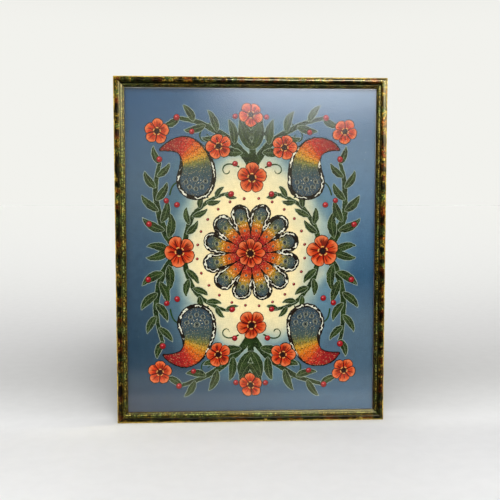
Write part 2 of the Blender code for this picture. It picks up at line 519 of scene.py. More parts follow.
def add_rail(name, length, middle, along, inward, gloss, painted_shades, number, material):
    """One rail. A point of the section, u in from the outer side, runs along the rail from mitre to
    mitre: its length is the rail's length less twice u. The lacquer stands proud by a few long waves, the
    sum of three sines. How light the lacquer is painted, its painted light and shade, goes evenly from
    one given place and inset to the next. The kept places of each rail start a metre on, so that no two
    rails have the same blotches."""
    section = moulding_section()
    share = np.linspace(-1.0, 1.0, RAIL_STATIONS)
    place = share[:, None] * (length / 2 - section[:, 0] - MITRE_GAP)
    inset, behind = [np.broadcast_to(column, place.shape) for column in section.T]
    waves = sum(
        np.sin(place * long + inset * wide + order * number)
        for order, (long, wide) in enumerate(UNEVEN_WAVES, start=1)
    )
    full, flat = UNEVEN_DEPTH
    on_face = np.clip((flat - behind) / (flat - full), 0.0, 1.0)
    points = np.array(middle) + place[..., None] * np.array(along) + inset[..., None] * np.array(inward)
    points[..., 1] += np.maximum(behind + UNEVENNESS / 2 * waves * on_face, 0.0)
    rail = closed_tube(name + "_moulding", points, material)
    keep_values(rail, "section_mm", np.stack([inset, place + number, behind], axis=-1) * MM)
    # Painted light and shade: how light the lacquer is painted at each station and inset
    places, *columns = np.array(painted_shades).T
    rows = np.stack([np.interp(share, places, column) for column in columns], axis=1)
    shade = np.stack([np.interp(section[:, 0] * MM, SHADE_INSETS, row) for row in rows])
    values = np.stack([shade, np.full_like(shade, gloss), np.zeros_like(shade)], axis=-1)
    keep_values(rail, "painted_shade_and_gloss", values)
    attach(rail, "root")
    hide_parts(name)


def paint(red, green, blue):
    """The colour of a surface that shows as these display values under the scene's light."""
    shown = np.array((red, green, blue)) / 255.0
    linear = np.where(shown > 0.04045, ((shown + 0.055) / 1.055) ** 2.4, shown / 12.92)
    return (*(linear / LIGHT_ON_PANEL).tolist(), 1.0)


def band_colours(nodes, section, bars, clouds, reds, flecks, specks):
    """The broad band: blotches from black through olive to straw, with bars of oxblood and dark green
    across it, black and gold flecks, thin gold veins, and darker and lighter patches. A vein runs where
    its noise is close to a half."""
    band = nodes.ramp(
        clouds,
        (0.41, paint(6, 4, 1)),
        (0.46, paint(32, 28, 4)),
        (0.50, paint(66, 50, 8)),
        (0.54, paint(102, 84, 20)),
        (0.58, paint(140, 108, 36)),
        (0.64, paint(186, 160, 92)),
    )
    veins = nodes.noise(nodes.vector("ADD", section, (17.0, 43.0, 9.0)), 4.0, 2.0, 1.8)
    veins = nodes.math("ABSOLUTE", nodes.less(veins, 0.5))
    layers = (
        # what decides its place, where it starts and where it's full, its strength and its colour
        (reds, 0.535, 0.57, 0.80, (78, 18, 8)),
        (reds, 0.45, 0.42, 0.75, (20, 50, 30)),
        (flecks, 0.54, 0.59, 0.92, (8, 5, 1)),
        (flecks, 0.42, 0.36, 0.80, (150, 120, 44)),
        (veins, 0.022, 0.008, 0.60, (128, 104, 42)),
    )
    for noise, start, full, strength, shown in layers:
        band = nodes.mix(nodes.step(noise, start, full, 0.0, strength), band, paint(*shown))
    hue = nodes.ramp(
        reds,
        (0.41, (0.78, 1.05, 1.25, 1.0)),
        (0.46, (1.00, 1.00, 1.00, 1.0)),
        (0.53, (1.00, 1.00, 1.00, 1.0)),
        (0.58, (1.05, 0.72, 0.70, 1.0)),
    )
    band = nodes.mix(1.0, band, hue, "MULTIPLY")
    band = nodes.shaded(band, nodes.step(specks, 0.40, 0.60, 0.45, 1.6))
    patches = nodes.noise(nodes.vector("ADD", bars, (5.0, 91.0, 33.0)), 12.0, 3.0)
    band = nodes.shaded(band, nodes.step(patches, 0.38, 0.62, 0.1, 2.4))
    return nodes.mix(1.0, band, (1.0, 1.0, 0.75, 1.0), "MULTIPLY")


def bead_colours(nodes, clouds, reds, specks):
    """The bead and the lip: olive specks from near black to straw, dark blotches, and a green or a red
    tinge in places."""
    bead = nodes.ramp(
        specks,
        (0.41, paint(10, 8, 1)),
        (0.47, paint(58, 53, 8)),
        (0.53, paint(112, 105, 28)),
        (0.60, paint(180, 172, 92)),
    )
    bead = nodes.mix(nodes.step(clouds, 0.53, 0.57, 0.0, 0.75), bead, paint(26, 18, 3))
    hue = nodes.ramp(
        reds,
        (0.42, (0.78, 1.00, 1.25, 1.0)),
        (0.50, (1.00, 1.00, 1.00, 1.0)),
        (0.58, (1.15, 0.88, 0.80, 1.0)),
    )
    return nodes.mix(1.0, bead, hue, "MULTIPLY")


def lacquer_material():
    """Tortoiseshell lacquer: the band's colours outside and the bead's inside, as light as each rail's
    painted light and shade says, with a painted straw sheen where they are lightest. The bead lies between
    two lines of painted shade, the lip is darkened towards the glass by painted shade, the outer edge is
    rubbed to gold, the outer side is dark, and the back is bare stained wood."""
    material, shader, nodes = surface_material("lacquer", 0.3, Specular_IOR_Level=0.03, Coat_Roughness=0.06)
    section = kept_values(nodes, "section_mm")
    inset, along, depth = nodes.parts(section)
    shade, gloss, _ = nodes.parts(kept_values(nodes, "painted_shade_and_gloss"))
    clouds = nodes.noise(nodes.vector("MULTIPLY", section, (1.0, 0.75, 0.75)), 4.6, 4.0, 0.8)
    bars = nodes.vector("MULTIPLY", section, (0.35, 1.0, 0.35))
    reds = nodes.noise(nodes.vector("ADD", bars, (71.0, 13.0, 5.0)), 10.0, 2.0, 0.6)
    flecks = nodes.noise(section, 2.3, 3.0, 0.6)
    specks = nodes.noise(section, 1.5, 2.0, 0.6)
    band = band_colours(nodes, section, bars, clouds, reds, flecks, specks)
    bead = bead_colours(nodes, clouds, reds, specks)
    colour = nodes.mix(nodes.step(inset, *BAND_TO_BEAD), band, bead)
    # Painted light and shade from each rail's table, capped at the lightest
    colour = nodes.shaded(colour, nodes.math("MINIMUM", shade, LIGHTEST_PAINTED_SHADE))
    # A painted sheen, straw-pale, over the lightest places
    colour = nodes.mix(nodes.step(shade, *PAINTED_SHEEN), colour, paint(*PAINTED_SHEEN_COLOUR))

    # Painted shade: dark lines in the groove, between bead and lip and at the lip's edge, and a darker lip
    painted_crevice_shade = nodes.step(inset, *LIP_EDGE_PAINTED_SHADE)
    for middle, half in PAINTED_SHADE_LINES:
        painted_crevice_shade = nodes.math("MAXIMUM", painted_crevice_shade, nodes.math("COMPARE", inset, middle, half))
    colour = nodes.mix(nodes.times(painted_crevice_shade, PAINTED_LINE_STRENGTH), colour, paint(14, 12, 4))
    colour = nodes.shaded(colour, nodes.step(inset, *LIP_PAINTED_SHADE, 1.0, 0.5))

    rub = nodes.plus(inset, nodes.step(flecks, 0.3, 0.7, -0.5, 0.5))
    rub = nodes.plus(rub, nodes.step(nodes.noise(section, 24.0, 2.0), 0.4, 0.6, -0.4, 0.5))
    rub = nodes.less(rub, nodes.step(along, *BOTTOM_RAIL, 0.0, RUBBED_MORE))
    gold = nodes.ramp(flecks, (0.38, paint(140, 108, 18)), (0.62, paint(248, 218, 104)))
    colour = nodes.mix(nodes.step(rub, *RUBBED_EDGE), colour, gold)
    side = nodes.ramp(clouds, (0.35, paint(20, 14, 6)), (0.65, paint(60, 42, 18)))
    colour = nodes.mix(nodes.step(depth, *SIDE_STARTS), colour, side)

    grain = nodes.noise(nodes.vector("MULTIPLY", section, (1.0, 0.05, 1.0)), 1.2, 3.0)
    wood = nodes.ramp(grain, (0.35, paint(120, 88, 56)), (0.65, paint(160, 122, 82)))
    bare = nodes.math("MAXIMUM", nodes.step(depth, *BACK_STARTS), nodes.step(inset, *REBATE_WALL))
    bare = nodes.times(bare, nodes.step(depth, *REBATE_STARTS))
    nodes.give(shader.inputs["Base Color"], nodes.mix(bare, colour, wood))
    stops = [(share, (coat, coat, coat, 1.0)) for share, coat in POLISH]
    polish = nodes.ramp(nodes.times(inset, 1 / POLISH_SPAN), *stops)
    nodes.give(shader.inputs["Coat Weight"], nodes.times(polish, gloss, nodes.less(1.0, bare)))
    nodes.give(shader.inputs["Roughness"], nodes.step(bare, 0.0, 1.0, 0.3, 0.8))
    bump = nodes.add("Bump", {"Height": flecks, "Strength": 0.3, "Distance": 0.0001})
    nodes.give(shader.inputs["Normal"], bump.outputs["Normal"])
    return material


lacquer = lacquer_material()
front = cad_low.y
half_width, half_height = OUTER_WIDTH / 2, OUTER_HEIGHT / 2
RAILS = (
    # name, length, middle of its outer side at the front, direction along it, direction inwards, gloss
    ("rail_left", OUTER_HEIGHT, (-half_width, front, half_height), (0, 0, 1), (1, 0, 0), 0.7),
    ("rail_right", OUTER_HEIGHT, (half_width, front, half_height), (0, 0, 1), (-1, 0, 0), 0.9),
    ("rail_top", OUTER_WIDTH, (0.0, front, OUTER_HEIGHT), (1, 0, 0), (0, 0, -1), 1.0),
    ("rail_bottom", OUTER_WIDTH, (0.0, front, 0.0), (1, 0, 0), (0, 0, 1), 0.3),
)
RAIL_PAINTED_SHADES = (
    # for each rail, a place along it from -1 to 1, then how light the lacquer is painted there at each
    # inset:
    # painted light and shade, darker where a face turns from the light and paler where it catches it
    (
        (-1.0, 0.28, 0.30, 0.22, 0.08, 0.16, 0.78, 0.60, 0.78, 0.80),
        (0.45, 0.62, 0.66, 0.40, 0.16, 0.36, 1.43, 1.25, 1.40, 1.43),
        (1.0, 0.80, 0.80, 0.90, 1.20, 3.00, 5.50, 4.60, 2.40, 1.70),
    ),
    (
        (-1.0, 0.36, 0.42, 0.18, 0.10, 0.15, 0.16, 0.45, 0.63, 0.30),
        (0.2, 0.95, 0.90, 0.36, 0.18, 0.28, 0.28, 0.70, 1.07, 0.51),
        (0.5, 1.00, 1.65, 0.98, 0.52, 0.41, 0.34, 0.85, 1.18, 0.56),
        (1.0, 1.25, 2.60, 3.30, 3.00, 0.47, 0.60, 2.60, 1.60, 0.65),
    ),
    (
        (-1.0, 0.77, 0.65, 0.45, 0.43, 0.25, 0.12, 0.15, 0.59, 0.72),
        (0.0, 0.81, 0.68, 0.48, 0.46, 0.20, 0.12, 0.19, 0.58, 0.76),
        (1.0, 0.68, 1.20, 0.65, 0.44, 0.17, 0.09, 0.30, 0.50, 0.80),
    ),
    (
        (-1.0, 0.75, 0.45, 0.05, 0.02, 0.06, 1.10, 0.95, 1.80, 1.90),
        (-0.2, 0.75, 0.50, 0.10, 0.02, 0.06, 1.40, 1.20, 2.00, 2.80),
        (0.1, 0.80, 0.55, 0.10, 0.04, 0.06, 2.00, 2.10, 2.30, 4.40),
        (1.0, 0.95, 0.85, 0.14, 0.08, 0.05, 1.20, 2.40, 2.50, 5.00),
    ),
)
for number, (rail, painted_shades) in enumerate(zip(RAILS, RAIL_PAINTED_SHADES)):
    add_rail(*rail, painted_shades, number, lacquer)

# Glass: one 2 mm pane in the rebate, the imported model's own. It is clear, with a faint soft mirror at
# its front, which also stands for the mirror of its back.
GLASS_TINT = (0.985, 0.995, 0.99, 1.0)
MIRROR_IOR = 1.8
MIRROR_ROUGHNESS = 0.09


def glass_material():
    """See-through glass that mirrors by its Fresnel share, on the faces seen from outside alone."""
    material = bpy.data.materials.new("picture_glass")
    material.use_nodes = True
    material.node_tree.nodes.clear()
    nodes = Nodes(material.node_tree)
    mirror = nodes.add("Fresnel", {"IOR": MIRROR_IOR}).outputs[0]
    inside = nodes.add("NewGeometry").outputs["Backfacing"]
    mirror = nodes.times(mirror, nodes.less(1.0, inside))
    clear = nodes.add("BsdfTransparent", {"Color": GLASS_TINT})
    shine = nodes.add("BsdfGlossy", {"Color": (1.0, 1.0, 1.0, 1.0), "Roughness": MIRROR_ROUGHNESS})
    mixed = nodes.add("MixShader", {0: mirror, 1: clear.outputs[0], 2: shine.outputs[0]})
    output = nodes.add("OutputMaterial")
    nodes.give(output.inputs["Surface"], mixed.outputs[0])
    return material


def dress(node, material):
    """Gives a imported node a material. Its mesh and its place stay as they are."""
    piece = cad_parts[node]
    piece.data.materials.clear()
    piece.data.materials.append(material)


dress("glass_pane", glass_material())

# Cloth: plain-weave cotton, waxed and dyed by hand, pressed flat between the glass and the board. Its
# design is a lotus medallion, four curved cones, leaf sprays, flowers and berries on a blue ground that
# fades to cream. The design's places are in millimetres from the cloth's middle, before it is scaled.
CLOTH_COLUMNS = 236
CLOTH_ROWS = 306
CLOTH_BACK_COLUMNS = 8
CLOTH_THICKNESS = 0.0005
CLOTH_SLACK = 0.00012
DESIGN_SCALE = 0.96
FAR = 99.0

cloth_low, cloth_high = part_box("batik_cloth")
cloth_middle = (cloth_low + cloth_high) / 2
cloth_x = np.linspace(cloth_low.x, cloth_high.x, CLOTH_COLUMNS)
cloth_z = np.linspace(cloth_low.z, cloth_high.z, CLOTH_ROWS)
plain_x, plain_z = [side.ravel() for side in np.meshgrid(cloth_x, cloth_z - cloth_middle.z)]
plain_x, plain_z = plain_x * MM, plain_z * MM


def drawn_by_hand(x, z):
    """The design's coordinates at a place: it wanders by a millimetre or two in long and short waves."""
    wander_x = 1.5 * np.sin(z / 31 + 0.6) * np.cos(x / 47) + 0.5 * np.sin(z / 9.3 + x / 14 + 2.0)
    wander_z = 1.4 * np.sin(x / 35 + 1.9) * np.cos(z / 52) + 0.5 * np.sin(x / 8.7 - z / 15 + 0.7)
    return x + wander_x, z + wander_z


print_x, print_z = drawn_by_hand(plain_x / DESIGN_SCALE, plain_z / DESIGN_SCALE)


def bezier(ends, samples=60):
    """Points along a cubic Bezier curve: its ends weighted by (1-t)^3, 3t(1-t)^2, 3t^2(1-t) and t^3."""
    t = np.linspace(0.0, 1.0, samples)[:, None]
    first, second, third, fourth = np.array(ends, float)
    left = 1 - t
    return first * left ** 3 + 3 * second * t * left ** 2 + 3 * third * t * t * left + fourth * t ** 3


def curl(start, heading, length, turn, samples=70):
    """A tendril: a line whose heading turns ever faster along it, added up step by step."""
    heading = heading + turn * np.linspace(0.0, 1.0, samples) ** 2.2
    steps = np.stack([np.cos(heading), np.sin(heading)], axis=1) * length / (samples - 1)
    return np.array(start) + np.cumsum(steps, axis=0)


def new_layer():
    """For each point of the cloth: how far outside a shape it is, how far along it, and how far across."""
    return np.tile((FAR, 0.0, 0.0), (len(print_x), 1))


def draw(layer, line, half_width_at, margin=6.0):
    """Adds a shape to a layer: a line whose half width changes along it. The distance outside it is the
    distance to the line less the half width there. Where shapes overlap, the nearer one holds."""
    reach = half_width_at(np.linspace(0.0, 1.0, 50)).max() + margin
    low, high = line.min(axis=0) - reach, line.max(axis=0) + reach
    inside = (print_x > low[0]) & (print_x < high[0]) & (print_z > low[1]) & (print_z < high[1])
    near = np.flatnonzero(inside)
    x, z = print_x[near], print_z[near]
    run = np.concatenate([[0.0], np.cumsum(np.hypot(*np.diff(line, axis=0).T))])
    heading = np.gradient(line, axis=0)
    heading /= np.linalg.norm(heading, axis=1)[:, None]
    closest = ((x[:, None] - line[:, 0]) ** 2 + (z[:, None] - line[:, 1]) ** 2).argmin(axis=1)
    offset_x, offset_z = x - line[closest, 0], z - line[closest, 1]
    heading_x, heading_z = heading[closest].T
    along = run[closest] + offset_x * heading_x + offset_z * heading_z
    across = offset_z * heading_x - offset_x * heading_z
    past = np.maximum(np.maximum(-along, along - run[-1]), 0.0)
    outside = np.hypot(across, past) - half_width_at(np.clip(along / run[-1], 0.0, 1.0))
    nearer = outside < layer[near, 0]
    layer[near[nearer]] = np.stack([outside, along, across], axis=1)[nearer]


def leaf_shape(half):
    """A leaf's half width: a sine from its stalk to its tip, fullest past a third of its length."""
    return lambda share: half * np.sin(np.pi * share ** 0.8) ** 0.8


def taper(start, end):
    """A half width that runs evenly from the start to the end."""
    return lambda share: start + (end - start) * share


def cone_shape(half):
    """A curved cone's half width: full and round at its foot, thinning ever faster to its tip."""
    return lambda share: half * (1 - share ** 1.5) ** 0.85 * (1.0 - 0.15 * share) + 1.8


def spray(layer, line, first, last, count, length, half, lean, side):
    """Leaves on alternate sides of a branch, each leaning from it and bent back, smaller to its tip."""
    for number in range(count):
        side = -side
        share = first + (last - first) * number / (count - 1)
        spot = int(share * (len(line) - 1))
        ahead = line[min(spot + 1, len(line) - 1)] - line[max(spot - 1, 0)]
        heading = math.atan2(ahead[1], ahead[0]) + side * lean
        size = length * (1 - 0.35 * share)
        ends = [line[spot]]
        for reach, bend in ((0.35, side * 0.30), (0.75, side * 0.18), (1.0, 0.0)):
            aim = np.array((math.cos(heading + bend), math.sin(heading + bend)))
            ends.append(line[spot] + reach * size * aim)
        draw(layer, bezier(ends), leaf_shape(half * (1 - 0.3 * share)))


def new_rounds():
    """For each point of the cloth: its place across and up from the nearest round motif's middle, and how
    far outside that motif it is."""
    return np.tile((FAR, FAR, FAR), (len(print_x), 1))


def draw_round(rounds, x, z, radius, turn=0.0):
    """Adds a round motif, turned by an angle in radians, where it's nearer than those before it."""
    offset_x, offset_z = print_x - x, print_z - z
    across = offset_x * math.cos(turn) + offset_z * math.sin(turn)
    up = offset_z * math.cos(turn) - offset_x * math.sin(turn)
    outside = np.hypot(across, up) - radius
    nearer = outside < rounds[:, 2]
    rounds[nearer] = np.stack([across, up, outside], axis=1)[nearer]


def round_a_ring(radius, count, start, end):
    """Places on an arc round the origin, evenly spaced from one angle in degrees to another."""
    angle = np.radians(np.linspace(start, end, count))
    return zip(radius * np.cos(angle), radius * np.sin(angle))


# The design's sizes and places, in mm from the cloth's middle
# Where a painted highlight lies along the right and the top of the opening
EDGE_HIGHLIGHT_RIGHT = (170.8, 171.2)
EDGE_HIGHLIGHT_TOP = (222.5, 222.9)
THREADS = 15.0  # radians of the weave's waves for each mm
GLOW_REACH = (136, 182)  # half width and half height of the pale middle
GROUND_HEIGHT = 440.0
MEDALLION_RADIUS = 70.0
HEART_RADIUS = 21.0
PETALS = 12
PETAL_START = 15.0  # the first petal's angle in degrees
PETAL_HALF = (4.0, 10.5)  # half width at the root, and what it gains to the full end
RING_OF_DOTS = 78.0
CONE_HALF = 26.0
CONE_LINE = ((79, 102), (71, 138), (92, 168), (128, 147))
CONE_DYES = (78.0, -6.0)  # places along a cone, near its tip and its foot, between which its dyes run
BRANCHES = (
    # start, first handle, second handle, end, half width at the start and at the end
    ((112, 10), (134, 34), (143, 80), (129, 128), 5.6, 2.4),
    ((0, 120), (16, 150), (50, 182), (102, 192), 5.8, 2.4),
    ((96, 14), (92, 50), (70, 78), (34, 84), 4.0, 2.0),
)
SPRAYS = (
    # for each branch: first and last share of it, leaves, their length, half width and lean, and the
    # first one's side
    (0.12, 1.0, 8, 39, 6.4, 0.60, -1),
    (0.25, 1.0, 7, 41, 6.6, 0.62, 1),
    (0.12, 0.98, 7, 27, 4.8, 0.50, -1),
)
MIDDLE_STEM = ((0, 112), (0, 130), (0, 160), (0, 192))
STEM_LEAVES = ((150, 38, 6.4), (168, 30, 5.6))  # height on the stem, length, half width
SIDE_LEAF = ((118, 3), (128, 3), (138, 12), (151, 8))
CORNER_FLOWERS = ((47, 150, 18.5), (134, 173, 18))  # place and radius, in each quarter
BERRIES = (
    # place and radius, in each quarter
    (129, 134, 4.0),
    (106, 193, 4.0),
    (29, 83, 3.8),
    (24, 126, 3.6),
    (106, 68, 3.8),
    (121, 74, 3.6),
    (84, 172, 3.6),
    (147, 40, 3.8),
    (22, 192, 3.6),
)
TENDRILS = (
    # start, heading as (across, up), length, turn
    ((116, 82), (-0.2, 1.0), 46, 5.2),
    ((58, 184), (1.0, -0.6), 50, -5.5),
    ((18, 121), (1.0, 0.5), 44, -5.2),
    ((62, 78), (0.5, 1.0), 40, -5.0),
)
PETAL_SPOTS = (
    # distance from the medallion's middle, places across the petal, and radius
    (51.0, (0.0,), 3.4),
    (46.0, (-5.6, 5.6), 1.7),
    (41.0, (-3.4, 0.0, 3.4), 0.95),
    (33.0, (0.0,), 1.9),
)
CONE_SPOTS_UP = 3.0
CONE_SPOTS = (
    # distance from the middle of the cone's foot, number on an arc below it, radius
    (14.5, 5, 3.3),
    (7.5, 5, 0.95),
    (0.0, 1, 4.0),
)

stems, leaves, cones, petals, tendrils = [new_layer() for _ in range(5)]
flowers, berries, spots = [new_rounds() for _ in range(3)]

for number in range(PETALS):
    angle = math.radians(PETAL_START + 360.0 * number / PETALS)
    outwards, sideways = np.array(((math.cos(angle), math.sin(angle)), (-math.sin(angle), math.cos(angle))))
    reach = np.linspace(HEART_RADIUS - 6.0, MEDALLION_RADIUS - sum(PETAL_HALF) + 1.0, 30)
    draw(petals, reach[:, None] * outwards, lambda share: PETAL_HALF[0] + PETAL_HALF[1] * share ** 0.75)
    for distance, places, radius in PETAL_SPOTS:
        for across in places:
            draw_round(spots, *(distance * outwards + across * sideways), radius)
for x, z in round_a_ring(RING_OF_DOTS, 2 * PETALS, PETAL_START / 2, 360.0 - PETAL_START / 2):
    draw_round(berries, x, z, 1.7)

foot_x, foot_z = CONE_LINE[0]
for mirror in ((1, 1), (-1, 1), (1, -1), (-1, -1)):
    handed = mirror[0] * mirror[1]
    for (*ends, start, end), (first, last, count, length, half, lean, side) in zip(BRANCHES, SPRAYS):
        line = bezier(np.array(ends) * mirror)
        draw(stems, line, taper(start, end))
        spray(leaves, line, first, last, count, length, half, lean, side * handed)
    draw(cones, bezier(np.array(CONE_LINE) * mirror), cone_shape(CONE_HALF))
    for distance, count, radius in CONE_SPOTS:
        for x, z in round_a_ring(distance, count, 195.0, 345.0):
            x, z = foot_x + x, foot_z + CONE_SPOTS_UP + z
            draw_round(spots, x * mirror[0], z * mirror[1], radius)
    for x, z, radius in CORNER_FLOWERS:
        draw_round(flowers, x * mirror[0], z * mirror[1], radius, x * 0.3 + mirror[0])
    for x, z, radius in BERRIES:
        draw_round(berries, x * mirror[0], z * mirror[1], radius)
    for start, aim, length, turn in TENDRILS:
        heading = math.atan2(aim[1] * mirror[1], aim[0] * mirror[0])
        draw(tendrils, curl(np.array(start) * mirror, heading, length, turn * handed), taper(1.25, 0.8))

for up in (1, -1):
    draw(stems, bezier(np.array(MIDDLE_STEM) * (1, up)), taper(6.0, 2.6))
    draw_round(flowers, 0, 106 * up, 21.5, 0.3 * up)
    draw_round(flowers, 0, 195 * up, 17.5, 0.9 * up)
    for side in (1, -1):
        draw(leaves, bezier(np.array(SIDE_LEAF) * (side, up)), leaf_shape(5.8))
        for height, length, half in STEM_LEAVES:
            ends = ((0, height - 4), (10, height + 8), (15, height + 20), (16, height + length - 6))
            draw(leaves, bezier(np.array(ends) * (side, up)), leaf_shape(half))
for side in (1, -1):
    draw_round(flowers, 103 * side, 0, 23, 0.5 * side)


def cloth_points():
    """The cloth as a flat tube: the front's columns, then a few along its back, for each row. The front
    lies uneven by a tenth of a millimetre."""
    slack = CLOTH_SLACK * np.sin(plain_x / 37 + plain_z / 160) * np.cos(plain_z / 83 - plain_x / 210)
    front_y = cloth_high.y - CLOTH_THICKNESS + slack.reshape(CLOTH_ROWS, CLOTH_COLUMNS)
    grid_x, grid_z = np.meshgrid(cloth_x, cloth_z)
    face = np.stack([grid_x, front_y, grid_z], axis=-1)
    back_x, back_z = np.meshgrid(np.linspace(cloth_high.x, cloth_low.x, CLOTH_BACK_COLUMNS), cloth_z)
    back = np.stack([back_x, np.full_like(back_x, cloth_high.y), back_z], axis=-1)
    return np.concatenate([face, back], axis=1)


def on_cloth(values):
    """Values of the front's points, with those of the nearest edge column for the points of the back."""
    values = values.reshape(CLOTH_ROWS, CLOTH_COLUMNS, 3)
    middle = CLOTH_BACK_COLUMNS // 2
    right = np.repeat(values[:, -1:], middle, axis=1)
    left = np.repeat(values[:, :1], CLOTH_BACK_COLUMNS - middle, axis=1)
    return np.concatenate([values, right, left], axis=1)


def layer_values(nodes, name):
    """A layer's three numbers, as the material reads them."""
    return nodes.parts(kept_values(nodes, name))


def line_mask(nodes, distance, middle, half, soft=0.3):
    """1 on a line of this half width round the middle distance, and 0 off it."""
    off = nodes.math("ABSOLUTE", nodes.less(distance, middle))
    return nodes.step(off, half + soft / 2, half - soft / 2)


def inside_mask(nodes, distance, edge=0.0, soft=0.3):
    """1 inside the edge and 0 outside it."""
    return nodes.step(nodes.less(distance, edge), soft / 2, -soft / 2)


def ground_colours(nodes, place, design):
    """The ground: cream in the middle, through pale teal to blue at the edges, bluer to the right."""
    shares = nodes.vector("MULTIPLY", design, (1 / GLOW_REACH[0], 1 / GLOW_REACH[1], 0.0))
    glow = nodes.vector("LENGTH", shares)
    glow = nodes.plus(glow, nodes.step(nodes.noise(place, 55.0, 2.0), 0.2, 0.8, -0.10, 0.10))
    x, z, _ = nodes.parts(place)
    height = nodes.math("DIVIDE", nodes.plus(z, GROUND_HEIGHT / 2), GROUND_HEIGHT)
    left = nodes.ramp(
        height,
        (0.02, paint(48, 62, 88)),
        (0.12, paint(54, 72, 90)),
        (0.20, paint(44, 66, 85)),
        (0.72, paint(76, 97, 117)),
        (0.98, paint(43, 79, 116)),
    )
    right = nodes.ramp(
        height,
        (0.02, paint(82, 108, 135)),
        (0.12, paint(74, 98, 118)),
        (0.28, paint(84, 106, 124)),
        (0.42, paint(54, 86, 114)),
        (0.50, paint(69, 101, 129)),
        (0.66, paint(95, 122, 148)),
        (0.80, paint(108, 130, 153)),
        (0.90, paint(92, 117, 144)),
    )
    across = nodes.math("MULTIPLY_ADD", x, 1 / 290, 0.59)
    blue = nodes.mix(across, left, right)
    middle_blue = nodes.mix(across, paint(80, 106, 120), paint(98, 130, 148))
    cream = nodes.ramp(
        nodes.math("DIVIDE", glow, 1.3),
        (0.36, paint(255, 231, 178)),
        (0.48, paint(232, 218, 178)),
        (0.58, paint(160, 176, 168)),
        (0.66, paint(118, 142, 146)),
    )
    colour = nodes.mix(nodes.step(glow, 0.74, 0.90), cream, middle_blue)
    return nodes.mix(nodes.step(glow, 0.86, 1.16), colour, blue)


def green_colours(nodes, colour, patches, cells, wobble):
    """Tendrils, stems and leaves: dark green with a fine pale stipple, a thin waxed outline that shows
    pale on the blue, and pale ribs and veins on the leaves."""
    green = nodes.ramp(patches, (0.35, paint(20, 32, 13)), (0.65, paint(42, 60, 23)))
    green = nodes.mix(nodes.step(cells, 0.40, 0.22, 0.0, 0.5), green, paint(112, 128, 84))
    outside, along, across = layer_values(nodes, "tendril_mm")
    colour = nodes.mix(inside_mask(nodes, outside), colour, paint(40, 66, 26))
    for name in ("stem_mm", "leaf_mm"):
        outside, along, across = layer_values(nodes, name)
        outside = nodes.plus(outside, wobble)
        outline = nodes.times(inside_mask(nodes, outside, 0.75), 0.7)
        colour = nodes.mix(outline, colour, paint(178, 186, 160))
        colour = nodes.mix(inside_mask(nodes, outside), colour, green)
    slant = nodes.less(along, nodes.times(nodes.math("ABSOLUTE", across), 1.2))
    veins = nodes.times(line_mask(nodes, nodes.math("PINGPONG", slant, 2.1), 2.1, 0.22), 0.5)
    veins = nodes.math("MAXIMUM", line_mask(nodes, across, 0.0, 0.3), veins)
    veins = nodes.times(veins, 0.6, inside_mask(nodes, outside, -0.8))
    return nodes.mix(veins, colour, paint(138, 148, 98))


def bordered_colours(nodes, colour, place, layer, share, specks, cells):
    """A cone or a petal, whose share runs from 0 at its root to 1 at its full end: a run of dyes from red
    to slate under fine specks and hairlines, inside a brown-black border that widens to the full end and
    carries a broken white line there."""
    outside, along, across = layer
    border = nodes.step(share, 0.15, 0.85, 1.8, 6.2)
    inner = nodes.plus(outside, border)
    width = nodes.math("ABSOLUTE", across)
    half = nodes.less(width, outside)
    streaks = nodes.noise(nodes.joined(nodes.times(along, 0.14), across), 1.2, 3.0)
    run = nodes.plus(share, nodes.step(streaks, 0.2, 0.8, -0.08, 0.08))
    dyes = nodes.ramp(
        run,
        (0.0, paint(150, 22, 30)),
        (0.20, paint(206, 48, 34)),
        (0.38, paint(228, 108, 22)),
        (0.54, paint(218, 158, 42)),
        (0.66, paint(128, 126, 60)),
        (0.78, paint(76, 92, 84)),
        (1.0, paint(62, 82, 96)),
    )
    scallops = nodes.math("ABSOLUTE", nodes.math("SINE", nodes.times(across, 0.55)))
    scallops = nodes.plus(along, nodes.times(scallops, 2.2))
    scallops = line_mask(nodes, nodes.math("PINGPONG", scallops, 3.4), 3.4, 0.45)
    in_middle = nodes.times(nodes.step(share, 0.05, 0.15), nodes.step(share, 0.80, 0.66))
    dyes = nodes.mix(nodes.times(scallops, in_middle, 0.8), dyes, paint(62, 18, 12))
    dyes = nodes.mix(nodes.step(specks, 0.53, 0.63, 0.0, 0.65), dyes, paint(40, 32, 30))
    dyes = nodes.mix(nodes.step(cells, 0.34, 0.20, 0.0, 0.50), dyes, paint(222, 196, 136))
    gap = nodes.less(width, nodes.times(half, 0.42))
    hairs = nodes.math("MAXIMUM", line_mask(nodes, gap, 0.0, 0.25), line_mask(nodes, inner, -1.5, 0.3))
    hairs = nodes.times(hairs, nodes.step(nodes.noise(place, 6.0, 1.0), 0.40, 0.55, 0.2, 0.75))
    dyes = nodes.mix(hairs, dyes, paint(52, 34, 34))
    colour = nodes.mix(inside_mask(nodes, outside), colour, paint(27, 17, 12))
    colour = nodes.mix(inside_mask(nodes, inner), colour, dyes)
    wander = nodes.step(nodes.noise(place, 5.0, 1.0), 0.3, 0.7, -1.1, 1.1)
    middle = nodes.plus(nodes.times(border, -0.5), wander)
    white = line_mask(nodes, nodes.less(outside, middle), 0.0, 0.75)
    broken = nodes.step(nodes.noise(place, 13.0, 1.0), 0.42, 0.47)
    white = nodes.times(white, broken, nodes.step(share, 0.38, 0.52))
    return nodes.mix(white, colour, paint(244, 236, 214))


